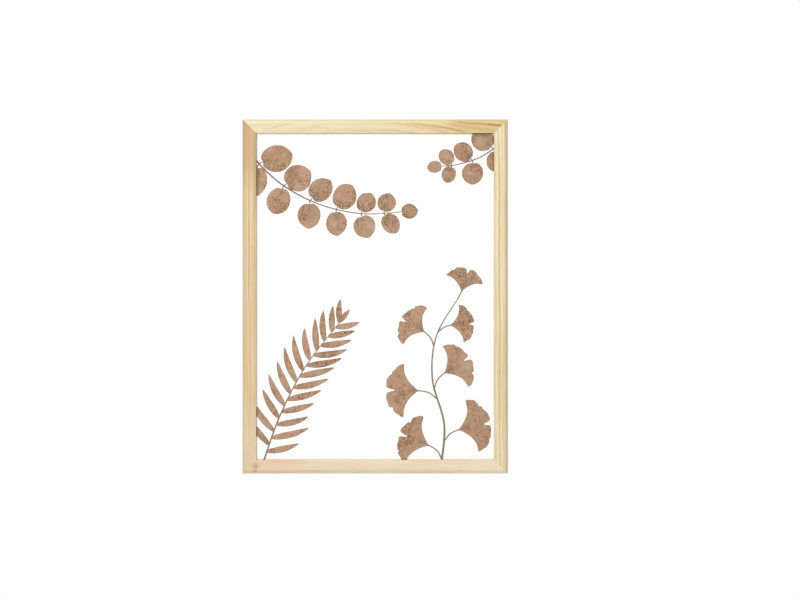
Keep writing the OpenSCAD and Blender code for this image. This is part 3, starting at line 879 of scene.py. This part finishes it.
def threads_mesh():
    """Frayed threads along the cut edge of the cloth, behind the strainer."""
    rnd = random.Random(11)
    bm = bmesh.new()
    ex, ez = HX - TURN, HZ - TURN

    def thread(p, d, l, r):
        side = Vector((-d.z, 0, d.x))
        pts = []
        curl, lift = rnd.uniform(-0.5, 0.5), rnd.uniform(0.0, 0.35)
        for k in range(6):
            t = k / 5
            pts.append(p + d * l * t + side * curl * l * t * t + Vector((0, lift * t * (1.4 - t), 0)))
        prev = None
        for k, q in enumerate(pts):
            t = (pts[min(k + 1, 5)] - pts[max(k - 1, 0)]).normalized()
            u = t.cross(Vector((0, 1, 0))).normalized()
            w = t.cross(u)
            rr = r * (1 - 0.35 * k / 5)
            ringv = [bm.verts.new((q + (u * math.cos(a) + w * math.sin(a)) * rr) * MM) for a in (0, 2.094, 4.189)]
            if prev:
                for i in range(3):
                    bm.faces.new((prev[i], prev[(i + 1) % 3], ringv[(i + 1) % 3], ringv[i]))
            else:
                bm.faces.new(ringv[::-1])
            prev = ringv
        bm.faces.new(prev)

    y = Y_BACK + 0.05
    for _ in range(150):
        if rnd.random() < 0.6:
            s = rnd.choice((-1, 1))
            p = Vector((s * (ex + 0.8), y, rnd.uniform(-ez, ez)))
            d = Vector((-s, 0, rnd.uniform(-0.4, 0.4))).normalized()
        else:
            s = rnd.choice((-1, 1))
            p = Vector((rnd.uniform(-ex, ex), y, s * (ez + 0.8)))
            d = Vector((rnd.uniform(-0.4, 0.4), 0, -s)).normalized()
        thread(p, d, rnd.uniform(1.2, 3.4) if rnd.random() < 0.85 else rnd.uniform(4, 8), rnd.uniform(0.10, 0.16))
    mesh = bpy.data.meshes.new("canvas_frayed_threads")
    bm.to_mesh(mesh)
    bm.free()
    return mesh


threads = bpy.data.objects.new("canvas_frayed_threads", threads_mesh())
bpy.context.scene.collection.objects.link(threads)
threads.data.materials.append(canvas_raw("thread_cotton"))
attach(threads, "frame")


def folds_mesh():
    """The diagonal folds of the cloth at the back corners, where the upper layer laps over the lower."""
    bm = bmesh.new()
    prof = ((0.0, 0.0), (0.02, 0.34), (0.14, 0.62), (0.36, 0.80), (0.7, 0.90), (1.3, 0.92), (2.2, 0.86), (3.4, 0.74),
            (5.0, 0.56), (7.0, 0.36), (9.5, 0.18), (12.5, 0.02))
    for sx, sz in ((1, 1), (-1, 1), (1, -1), (-1, -1)):
        tops, lows = [], []
        for j in range(15):
            top, low = [], []
            for t, h in prof:
                q = 19.75 + 13.6 * j / 14
                if j == 14:
                    q += noise.noise(Vector((t * 0.9, sx * 3.0, sz * 5.0))) * 0.5
                ripple = noise.noise(Vector((q * 0.22, t * 0.12, sx + 3.0 * sz)))
                x = sx * (HX - q - t - 0.25 * ripple)
                z = sz * (HZ - q)
                lift = h * (1.0 + 0.28 * ripple)
                top.append(bm.verts.new((x * MM, (Y_BACK + lift) * MM, z * MM)))
                low.append(bm.verts.new((x * MM, (Y_BACK - 0.25) * MM, z * MM)))
            tops.append(top)
            lows.append(low)
        n, m = len(tops), len(prof)
        for j in range(n - 1):
            for i in range(m - 1):
                bm.faces.new((tops[j][i], tops[j][i + 1], tops[j + 1][i + 1], tops[j + 1][i]))
                bm.faces.new((lows[j][i], lows[j + 1][i], lows[j + 1][i + 1], lows[j][i + 1]))
        rim = ([(0, i) for i in range(m)] + [(j, m - 1) for j in range(1, n)]
               + [(n - 1, i) for i in range(m - 2, -1, -1)] + [(j, 0) for j in range(n - 2, 0, -1)])
        for (a, b), (c, d) in zip(rim, rim[1:] + rim[:1]):
            side = bm.faces.new((tops[a][b], lows[a][b], lows[c][d], tops[c][d]))
            side.material_index = 1 if a == c == n - 1 else 0
    bmesh.ops.recalc_face_normals(bm, faces=bm.faces)
    for face in bm.faces:
        face.smooth = abs(face.normal.y) > 0.3
    mesh = bpy.data.meshes.new("canvas_corner_folds")
    bm.to_mesh(mesh)
    bm.free()
    return mesh


folds = bpy.data.objects.new("canvas_corner_folds", folds_mesh())
bpy.context.scene.collection.objects.link(folds)
folds.data.materials.append(canvas_front("fold_primed"))
folds.data.materials.append(canvas_raw("fold_cotton"))
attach(folds, "frame")


# ------------------------------------------------------------------ studio

def floor_material():
    g = Graph("studio_floor")
    p = g.coord()
    n = g.noise(p, 0.004, 3)
    g.set(Base_Color=g.mix(g.step(n, 0.3, 0.7), lin(244, 244, 243), lin(240, 240, 239)), Roughness=g.lerp(n, 0, 1, 0.75, 0.85))
    return g.mat


fm = bpy.data.meshes.new("studio_floor")
s = 2.2
fm.from_pydata([(-s, -s, 0), (s, -s, 0), (s, s, 0), (-s, s, 0)], [], [(0, 1, 2, 3)])
floor = bpy.data.objects.new("studio_floor", fm)
floor.location = (0, 0, -0.56)
bpy.context.scene.collection.objects.link(floor)
fm.materials.append(floor_material())


def area(name, loc, aim, size, power, col=(1, 1, 1)):
    d = bpy.data.lights.new(name, "AREA")
    d.shape = "RECTANGLE"
    d.size, d.size_y = size
    d.energy = power
    d.color = col
    o = bpy.data.objects.new(name, d)
    o.location = loc
    o.rotation_mode = "QUATERNION"
    o.rotation_quaternion = (Vector(aim) - Vector(loc)).to_track_quat("-Z", "Y")
    bpy.context.scene.collection.objects.link(o)
    return o


area("key", (-0.78, -1.85, 1.00), (0, 0, 0), (1.4, 1.4), 26.2)
area("top", (0, -0.55, 1.6), (0, 0, 0), (0.9, 0.5), 6.5)
area("back_fill", (0.9, 2.4, 1.2), (0, 0, 0), (2.0, 2.0), 26)

world = bpy.data.worlds.new("studio")
bpy.context.scene.world = world
world.use_nodes = True
wn = world.node_tree
wn.nodes.clear()
wo = wn.nodes.new("ShaderNodeOutputWorld")
path = wn.nodes.new("ShaderNodeLightPath")
mixs = wn.nodes.new("ShaderNodeMixShader")
soft = wn.nodes.new("ShaderNodeBackground")
seen = wn.nodes.new("ShaderNodeBackground")
soft.inputs[0].default_value = (1.0, 1.0, 1.0, 1)
soft.inputs[1].default_value = 0.50
seen.inputs[0].default_value = (1, 1, 1, 1)
seen.inputs[1].default_value = 1.0
wn.links.new(path.outputs["Is Camera Ray"], mixs.inputs[0])
wn.links.new(soft.outputs[0], mixs.inputs[1])
wn.links.new(seen.outputs[0], mixs.inputs[2])
wn.links.new(mixs.outputs[0], wo.inputs[0])

view = bpy.context.scene.view_settings
view.view_transform = "Standard"
view.look = "None"
view.exposure = 0.0
view.gamma = 1.0
